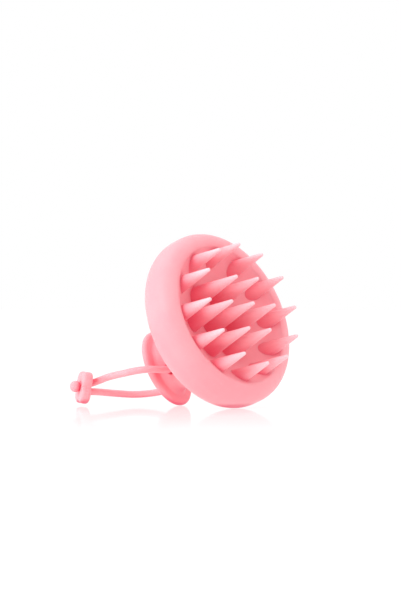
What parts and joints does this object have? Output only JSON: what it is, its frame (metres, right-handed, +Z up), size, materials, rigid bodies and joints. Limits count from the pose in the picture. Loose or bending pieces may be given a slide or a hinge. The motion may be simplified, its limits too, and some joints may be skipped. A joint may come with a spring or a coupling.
{
  "type": "scalp massager brush",
  "caption": "Round scalp massager brush with long tapered soft bristles in a thick rounded rim, an oval grip handle behind, and a cord loop through its neck with a flower-shaped lock.",
  "frame": {"origin": "on the floor, in the middle of the box around the head and handle, with the brush standing on the lower edge of its rim and of its grip plate and the strap lying behind", "axes": "+Z up; +X is the horizontal direction that the bristles face, and they rise 21 degrees from it; +Y across the head"},
  "size_m": [0.1007, 0.0804, 0.0773],
  "materials": {
    "rim_silicone": "matte satin silicone",
    "pad_silicone": "matte satin silicone",
    "bristle_silicone": "matte satin silicone with pale tips",
    "cover_soft_touch": "soft-touch matte",
    "grip_silicone": "matte satin silicone",
    "cap_soft_touch": "soft-touch matte",
    "core_plastic": "moulded, fine grain",
    "screw_steel": "stainless",
    "strap_silicone": "matte satin silicone",
    "flower_silicone": "matte satin silicone",
    "ball_silicone": "matte satin silicone"
  },
  "bodies": {
    "brush": {"rim_ring": "rim_silicone", "bristle_pad": "pad_silicone", "bristles": "bristle_silicone", "core_plate": "core_plastic", "back_cover": "cover_soft_touch", "handle_grip": "grip_silicone", "handle_core": "core_plastic", "grip_cap": "cap_soft_touch", "handle_screws": "screw_steel", "cover_screws": "screw_steel"},
    "strap": {"strap_cord": "strap_silicone", "flower_lock": "flower_silicone"},
    "ball": {"ball_end": "ball_silicone"}
  },
  "joints": [
    {"name": "strap_swing", "type": "hinge", "parent": "brush", "child": "strap", "pos_m": [-0.02213, 0.00289, 0.01844], "axis": [-0.1078, 0.9537, 0.2807], "range_deg": [-90, 95]},
    {"name": "ball_pull", "type": "slide", "parent": "strap", "child": "ball", "axis": [-0.5327, -0.8203, -0.2079], "range_m": [0, 0.003], "stiffness_N_per_m": 100}
  ]
}
